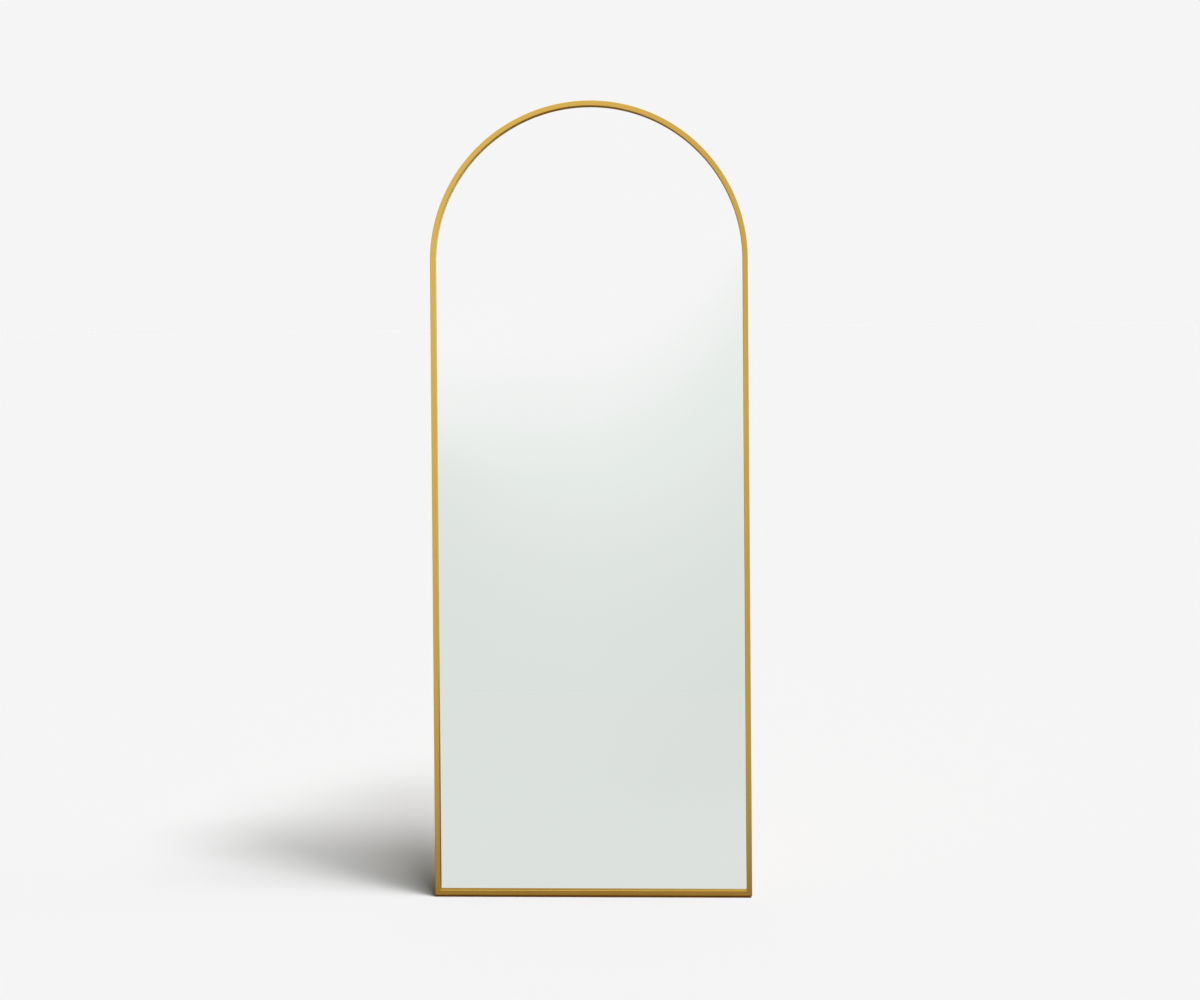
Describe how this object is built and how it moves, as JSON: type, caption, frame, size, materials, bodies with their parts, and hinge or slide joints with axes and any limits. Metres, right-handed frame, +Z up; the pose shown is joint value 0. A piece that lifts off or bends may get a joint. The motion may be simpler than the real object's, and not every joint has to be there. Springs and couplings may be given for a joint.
{
  "type": "leaning floor mirror",
  "caption": "Full-length arched floor mirror that leans on a wall: slim mitred metal frame, backed glass, edge clips, hanger rings, wall bumpers and wedge feet.",
  "frame": {"origin": "on the floor, at the bottom centre of the bounding box of the mirror as it leans", "axes": "+Z up, -Y the side that the glass faces, +X to the right of someone who looks into the glass; the mirror leans back 6 degrees towards +Y"},
  "size_m": [0.762, 0.2328, 1.8991],
  "materials": {
    "brass_frame": "satin, brushed along its length, brass tone",
    "silvered_glass": "polished, faint green-grey tint",
    "steel": "zinc plated",
    "key_metal": "cast, unpolished",
    "fibreboard": "fibreboard, unpainted",
    "pine": "planed softwood",
    "foam": "thin closed-cell foam",
    "rubber": "matte"
  },
  "bodies": {
    "mirror": {"arch_frame": "brass_frame", "bottom_rail": "brass_frame", "corner_key_left": "key_metal", "key_screw_left_upright": "steel", "key_screw_left_rail": "steel", "corner_key_right": "key_metal", "key_screw_right_upright": "steel", "key_screw_right_rail": "steel", "mirror_glass": "silvered_glass", "cushion_sheet": "foam", "back_board": "fibreboard", "setting_block_left": "rubber", "setting_block_right": "rubber", "edge_clip_1": "steel", "edge_clip_screw_1": "steel", "edge_clip_2": "steel", "edge_clip_screw_2": "steel", "edge_clip_3": "steel", "edge_clip_screw_3": "steel", "edge_clip_4": "steel", "edge_clip_screw_4": "steel", "edge_clip_5": "steel", "edge_clip_screw_5": "steel", "edge_clip_6": "steel", "edge_clip_screw_6": "steel", "edge_clip_7": "steel", "edge_clip_screw_7": "steel", "edge_clip_8": "steel", "edge_clip_screw_8": "steel", "edge_clip_9": "steel", "edge_clip_screw_9": "steel", "edge_clip_10": "steel", "edge_clip_screw_10": "steel", "edge_clip_11": "steel", "edge_clip_screw_11": "steel", "edge_clip_12": "steel", "edge_clip_screw_12": "steel", "upper_batten": "pine", "upper_batten_screw_1": "steel", "upper_batten_screw_2": "steel", "upper_batten_screw_3": "steel", "lower_batten": "pine", "lower_batten_screw_1": "steel", "lower_batten_screw_2": "steel", "lower_batten_screw_3": "steel", "hanger_strap_left": "steel", "hanger_screw_left_lower": "steel", "hanger_screw_left_upper": "steel", "hanger_strap_right": "steel", "hanger_screw_right_lower": "steel", "hanger_screw_right_upper": "steel", "wall_bumper_left": "rubber", "foot_pad_left": "rubber", "wall_bumper_right": "rubber", "foot_pad_right": "rubber"},
    "left_ring": {"hanger_ring_left": "steel"},
    "right_ring": {"hanger_ring_right": "steel"}
  },
  "joints": [
    {"name": "left_ring_swing", "type": "hinge", "parent": "mirror", "child": "left_ring", "pos_m": [-0.262, 0.06953, 1.36774], "axis": [1, 0, 0], "range_deg": [-20, 170]},
    {"name": "right_ring_swing", "type": "hinge", "parent": "mirror", "child": "right_ring", "pos_m": [0.262, 0.06953, 1.36774], "axis": [1, 0, 0], "range_deg": [-20, 170]}
  ]
}
